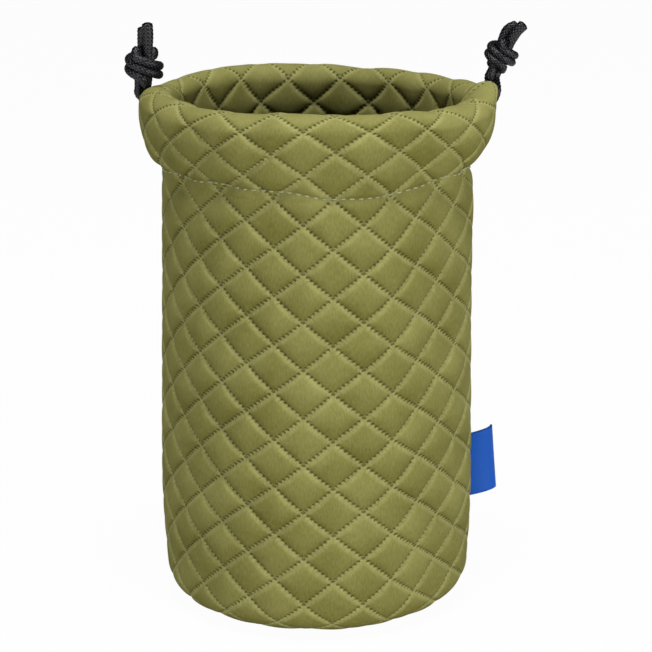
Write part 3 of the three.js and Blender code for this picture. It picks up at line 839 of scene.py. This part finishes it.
# Lining. A thin dark tricot faces the foam on the inside of each half. Over each side seam inside, a woven
# tape is sewn down to bind the raw edges.
LINING_OUTSIDE = 3.6 * MM
WALL_THICKNESS = 4.2 * MM
TRICOT_RIB_MM = 0.5
TRICOT_RELIEF = 0.1 * MM
TAPE_WIDTH = 7 * MM
TAPE_THICKNESS = 0.9 * MM
TAPE_BOTTOM = 16 * MM
TAPE_TOP = 144 * MM
TAPE_ROWS = 65
TAPE_SIDES = 20
TAPE_CREASE = 0.12 * MM  # pressed in along its middle
CREASE_SHARE = 0.72  # of the tape's width, which the crease takes up
CREASE_POWER = 8
TWILL_RIB_MM = 0.6
TWILL_RELIEF = 0.12 * MM

# Tricot lining: thin, smooth and close-knit, dark olive, with a slight shine along its fine ribs.
dark_tricot, tree = material("dark_olive_tricot")
place = cloth_place()
rib_at = pattern_place(place, HALF_DIAMOND_MM / TRICOT_RIB_MM)
rib_form = {"Vector": rib_at, "Scale": 10 / math.pi, "Distortion": 1, "Detail": 1}
ribs = node("ShaderNodeTexWave", rib_form).outputs[0]
lining_colour = shade(noise(place, 1.5, 3), "22220F", "34331C")
surface(lining_colour, ribs, 0.4, TRICOT_RELIEF, {"Roughness": 0.7, "IOR": 1.48, "Sheen Weight": 0.15})

for half, start_angle in HALVES.items():
    points, faces, uv = half_layer(start_angle, LINING_OUTSIDE, WALL_THICKNESS)
    lining = add_piece(f"{half}_tricot_lining", points, faces, dark_tricot, uv)
    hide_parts(f"{half}_lining")

# Woven binding tape: flat polyester twill, a shade paler than the lining, ribbed by its diagonal weave.
twill_tape, tree = material("olive_twill_tape")
twill_at = pattern_place(cloth_place(), (1 / TWILL_RIB_MM, 1 / TWILL_RIB_MM), turn=45)
twill = node("ShaderNodeTexWave", {"Vector": twill_at, "Scale": 0.32, "Distortion": 0.4}).outputs[0]
tape_colour = shade(twill, "3F3F1F", "5B5A33")
surface(tape_colour, twill, 0.6, TWILL_RELIEF, {"Roughness": 0.75, "IOR": 1.5})


def squarer(wave):
    """The cosine or sine of a round section, drawn out towards a square one's."""
    return np.sign(wave) * np.sqrt(np.abs(wave))


for side, cord in CORDS.items():
    heights = np.linspace(TAPE_BOTTOM, TAPE_TOP, TAPE_ROWS)[:, None]
    wall = slice(0, HEM_STEP + 1)
    wall_radius = np.interp(heights, face_points[wall, 1], face_points[wall, 0])
    middle = wall_radius - WALL_THICKNESS - 2 * LAYER_GAP - TAPE_THICKNESS / 2 + stretch_at(heights)
    turns = ring_turns(TAPE_SIDES)
    across = TAPE_WIDTH / 2 * squarer(np.cos(turns))
    crease = TAPE_CREASE * np.cos(np.pi * across / (CREASE_SHARE * TAPE_WIDTH)) ** CREASE_POWER
    through = TAPE_THICKNESS / 2 * squarer(np.sin(turns)) - crease * np.sign(np.sin(turns))
    points = crossed(cord["sign"] * (middle - through), across, heights)
    faces = grid_faces(TAPE_ROWS, TAPE_SIDES, closed=True, flip=cord["sign"] < 0)
    faces += [end[:: cord["sign"]] for end in tube_ends(TAPE_ROWS, TAPE_SIDES)]
    uv = crossed(across, heights) / MM
    tape = add_piece(f"{side}_binding_tape", points, faces, twill_tape, uv)
    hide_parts(f"{side}_seam_tape")

# Round base. The same three layers as the wall, cut as discs and joined to the wall by a turned seam. It
# rests on the floor, so its quilting is pressed nearly flat.
BASE_RADIUS = BASE_SEAM_RADIUS - LAYER_GAP
BASE_QUILT_SHARE = 0.35
BASE_RISE = 0.15 * MM
DISC_EDGE = 1.2 * MM
DISC_SIDES = 240
DISC_STEP = 0.8 * MM
# Each layer's name, the piece it replaces, its slot and material, and its bottom and top
BASE_LAYERS = (
    ("base_knit_cover", "base_cover", "knit", brushed_knit, 0, 1.9 * MM),
    ("base_foam", "base_padding", "foam", soft_foam, 2.2 * MM, 3.6 * MM),
    ("base_tricot_lining", "base_lining", "lining", dark_tricot, 3.9 * MM, 4.5 * MM),
)


def disc_layer(bottom, top, quilted):
    """A closed disc with rounded edges, from the middle of its underside to the middle of its top."""
    edge = min(DISC_EDGE, (top - bottom) / 2)
    flat = np.arange(DISC_STEP / 2, BASE_RADIUS - edge, DISC_STEP)
    edge_turns = np.radians(np.linspace(-90, 90, 9))
    radii = np.concatenate([flat, BASE_RADIUS - edge + edge * np.cos(edge_turns), flat[::-1]])
    edge_heights = np.copysign((top - bottom) / 2 - edge, edge_turns) + edge * np.sin(edge_turns)
    heights = np.concatenate([bottom + 0 * flat, (bottom + top) / 2 + edge_heights, top + 0 * flat])
    turns = ring_turns(DISC_SIDES)
    points = crossed(radii[:, None] * np.cos(turns), radii[:, None] * np.sin(turns), heights[:, None])
    place = points[..., :2] / (COLUMN_WIDTH, ROW_HEIGHT)
    if quilted:
        under = slice(0, len(flat))
        depth = BASE_QUILT_SHARE * quilting(place[under, :, 0], place[under, :, 1])
        points[under, :, 2] += np.maximum(0, depth + BASE_RISE)
    faces = grid_faces(len(radii), DISC_SIDES, closed=True) + tube_ends(len(radii), DISC_SIDES)
    return points, faces, place


for name, cad_node, slot_name, finish, bottom, top in BASE_LAYERS:
    points, faces, uv = disc_layer(bottom, top, slot_name == "knit")
    layer_piece = add_piece(name, points, faces, finish, uv)
    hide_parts(cad_node)
    if slot_name == "foam":
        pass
    else:
        across = 2 * BASE_RADIUS

# Hem stitching. One line of lockstitch in thick pale thread goes all round under the casing and holds its
# turned-in edge, so the same line shows inside the mouth. The thread sinks into the cloth between stitches.
STITCH_LENGTH = 2.9 * MM
STITCH_SHARE = 0.8  # of each stitch length that shows above its holes
STITCH_RISE = 0.75 * MM
STITCH_SINK = 0.45 * MM
STITCH_STEPS = 9
THREAD_RADIUS = 0.26 * MM
THREAD_END_SHARE = 0.55
THREAD_SIDES = 8
THREAD_RELIEF = 0.08 * MM
HEM_RISE_STEPS = 9  # mesh steps over which the outer line rises and falls
SMOOTH_STEPS = 4  # to each side
TURN_IN_STEPS = round((HEM_HEIGHT - TURN_IN_HEIGHT) / ROW_HEIGHT * FACE_STEPS)
INNER_HEM_STEP = len(face_points) - 1 - TURN_IN_STEPS - SMOOTH_STEPS

# Spun polyester thread: two plies twisted together, pale green-grey, slightly shiny on the crowns.
spun_thread, tree = material("pale_spun_thread")
ply_at = pattern_place(cloth_place(), (1, 1), turn=35)
ply = node("ShaderNodeTexWave", {"Vector": ply_at, "Scale": 1.2, "Distortion": 0.5}).outputs[0]
surface(shade(ply, "A9AC84", "D6D8B6"), ply, 0.7, THREAD_RELIEF,
        {"Roughness": 0.55, "IOR": 1.5, "Sheen Weight": 0.1})


def stitches(line, outward):
    """Short curved threads along a line of points, each rising outwards from its two holes."""
    run = run_along(line)
    count = int(run[-1] / STITCH_LENGTH)
    shares = np.linspace(-0.5, 0.5, STITCH_STEPS)
    bow = np.cos(np.pi * shares)
    thick = THREAD_RADIUS * (THREAD_END_SHARE + (1 - THREAD_END_SHARE) * np.sqrt(np.clip(bow, 0, 1)))
    turns = ring_turns(THREAD_SIDES)[:, None]
    points, uv, faces = [], [], []
    for i in range(count):
        at = (i + 0.5) * run[-1] / count + shares * STITCH_SHARE * STITCH_LENGTH
        centre, out = (crossed(*[np.interp(at, run, way) for way in given.T]) for given in (line, outward))
        out = out / np.linalg.norm(out, axis=1)[:, None]
        centre = centre + out * (bow * STITCH_RISE - STITCH_SINK)[:, None]
        side = np.cross(out, unit(centre[-1] - centre[0]))
        way = np.cos(turns) * side[:, None, :] + np.sin(turns) * out[:, None, :]
        points.append(centre[:, None, :] + thick[:, None, None] * way)
        uv.append(crossed(turns[:, 0], at[:, None] / MM))
        first = i * STITCH_STEPS * THREAD_SIDES
        faces += grid_faces(STITCH_STEPS, THREAD_SIDES, closed=True, start=first)
        faces += tube_ends(STITCH_STEPS, THREAD_SIDES, start=first)
    return np.stack(points), faces, np.stack(uv)


def hem_line(start_angle, first, last, inside):
    """The hem's line on the cover's face, smoothed across its pits, and the way out of the cloth there."""
    points = half_face(start_angle, first, last)[0][:, EDGE_STEPS:-EDGE_STEPS]
    angle = np.arctan2(points[0, :, 1], points[0, :, 0])
    rise = (last - first) / 2 + 0 * angle if inside else hem_row_at(angle) * FACE_STEPS
    at = np.clip(rise, 0, last - first)
    low = np.clip(at.astype(int), 0, last - first - 1)
    share = (at - low)[:, None]
    column = np.arange(len(at))
    picked = points[low, column] * (1 - share) + points[low + 1, column] * share
    picked = np.pad(picked, ((SMOOTH_STEPS, SMOOTH_STEPS), (0, 0)), mode="edge")
    window = np.ones(2 * SMOOTH_STEPS + 1) / (2 * SMOOTH_STEPS + 1)
    line = crossed(*[np.convolve(way, window, mode="valid") for way in picked.T])
    return line, crossed(np.cos(angle), np.sin(angle), 0) * (-1 if inside else 1)


for half, start_angle in HALVES.items():
    for name, first, last in (("outer", HEM_STEP, HEM_STEP + HEM_RISE_STEPS),
                              ("inner", INNER_HEM_STEP - SMOOTH_STEPS, INNER_HEM_STEP + SMOOTH_STEPS)):
        points, faces, uv = stitches(*hem_line(start_angle, first, last, name == "inner"))
        add_piece(f"{half}_{name}_hem_stitches", points, faces, spun_thread, uv)

# Side label. A woven polyester strip, folded double, with its cut ends caught in the right side seam. It is
# left plain. Its folded edge stands out and curls a little to the back.
LABEL_HEIGHT = 22.8 * MM
LABEL_BOTTOM = 32.9 * MM
LABEL_ROOT = BELLY_RADIUS - 2.4 * MM
LABEL_EDGE = BELLY_RADIUS + 8.9 * MM
LABEL_SWEEP = 5 * MM
LABEL_RISE = 2 * MM
LABEL_TAPER = 1.8 * MM
LABEL_WAVE = 0.5 * MM
LABEL_CLOTH = 0.34 * MM
LABEL_HALF_FOLD = 0.5 * MM
LABEL_RELIEF = 0.06 * MM
WEFT_MM = 0.35

# Damask-woven polyester: close and smooth, saturated deep blue, a faint satin shine across very fine ribs.
blue_damask, tree = material("blue_woven_damask")
weave_at = pattern_place(cloth_place(), (1 / WEFT_MM, 1 / WEFT_MM))
weave = node("ShaderNodeTexChecker", {"Vector": weave_at, "Scale": 1}).outputs["Fac"]
surface(shade(weave, "064CAA", "0C58BC"), weave, 0.35, LABEL_RELIEF,
        {"Roughness": 0.5, "IOR": 1.5, "Specular IOR Level": 0.2})

fold_turns = np.radians(np.linspace(0, 90, 14))
label_line = crossed(LABEL_ROOT + (LABEL_EDGE - LABEL_ROOT) * np.sin(fold_turns),
                     LABEL_SWEEP * (1 - np.cos(fold_turns)))
label_way = np.gradient(label_line, axis=0)
label_way /= np.linalg.norm(label_way, axis=1)[:, None]
to_front = crossed(label_way[:, 1], -label_way[:, 0])
tip_turns = np.radians(np.linspace(-75, 75, 7))[:, None]
shells = []
for inwards in (0, LABEL_CLOTH):
    half_fold = (LABEL_HALF_FOLD * (0.8 + 0.3 * np.sin(fold_turns * 2)) - inwards)[:, None]
    nose = np.cos(tip_turns) * label_way[-1] - np.sin(tip_turns) * to_front[-1]
    nose = label_line[-1] + half_fold[-1] * nose
    aside = half_fold * to_front
    shells.append(np.vstack([label_line + aside, nose, (label_line - aside)[::-1]]))
section = np.vstack([shells[0], shells[1][::-1]])
ply_run = run_along(shells[0])
out_share = np.clip((section[:, 0] - LABEL_ROOT) / (LABEL_EDGE - LABEL_ROOT), 0, 1)
label_rows = np.linspace(0, LABEL_HEIGHT, 28)[:, None]
points = crossed(
    section[:, 0] - LABEL_TAPER * out_share * label_rows / LABEL_HEIGHT,
    section[:, 1] + LABEL_WAVE * out_share * np.sin(label_rows / LABEL_HEIGHT * 4),
    LABEL_BOTTOM + label_rows + LABEL_RISE * out_share,
)
ring = len(section)
faces = grid_faces(len(label_rows), ring, closed=True)
top = (len(label_rows) - 1) * ring
for j in range(ring // 2 - 1):
    edge_face = [j, j + 1, ring - 2 - j, ring - 1 - j]
    faces.append(edge_face[::-1])
    faces.append([top + k for k in edge_face])
uv = crossed(np.concatenate([ply_run, ply_run[::-1]]), label_rows) / MM
label = add_piece("folded_label", points, faces, blue_damask, uv)
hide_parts("side_label")

# Studio. A wide white floor, white all round to the camera, a soft lamp overhead and one in front at each
# side. Each lamp has its place in metres and its watts.
FLOOR_REACH = 3
LAMP_WIDTH = 0.5
LAMP_AIM = Vector((0, 0, 0.1))
LAMPS = dict(overhead=((0, -0.25, 1.3), 12.3), right=((1.1, -1.1, 0.2), 15.3), left=((-1.1, -1.1, 0.2), 7.4))

backdrop, tree = material("white_paper")
seen = times(node("ShaderNodeLightPath").outputs["Is Camera Ray"], 0.97)
paper = node("ShaderNodeBsdfDiffuse", {0: linear("F4F4F4")})
glow = node("ShaderNodeEmission", {0: linear("FFFFFF"), 1: 1})
mixed = node("ShaderNodeMixShader", {0: seen, 1: paper.outputs[0], 2: glow.outputs[0]})
node("ShaderNodeOutputMaterial", {0: mixed.outputs[0]})
corners = [(x * FLOOR_REACH, y * FLOOR_REACH, 0) for x, y in ((-1, -1), (1, -1), (1, 1), (-1, 1))]
floor = add_piece("floor", corners, [(0, 1, 2, 3)], backdrop, body=None)

world = bpy.data.worlds.new("studio")
world.use_nodes = True
tree = world.node_tree
tree.nodes.clear()
seen = node("ShaderNodeLightPath").outputs["Is Camera Ray"]
ambient = node("ShaderNodeBackground", {0: linear("FFFFFF"), 1: 0.04})
white = node("ShaderNodeBackground", {0: linear("FFFFFF"), 1: 1})
mixed = node("ShaderNodeMixShader", {0: seen, 1: ambient.outputs[0], 2: white.outputs[0]})
node("ShaderNodeOutputWorld", {0: mixed.outputs[0]})
scene.world = world

for name, (place, watts) in LAMPS.items():
    lamp = bpy.data.lights.new(name, "AREA")
    lamp.energy = watts
    lamp.size = LAMP_WIDTH
    light = bpy.data.objects.new(name, lamp)
    light.location = place
    light.rotation_euler = (LAMP_AIM - Vector(place)).to_track_quat("-Z", "Y").to_euler()
    scene.collection.objects.link(light)

scene.view_settings.view_transform = "Standard"
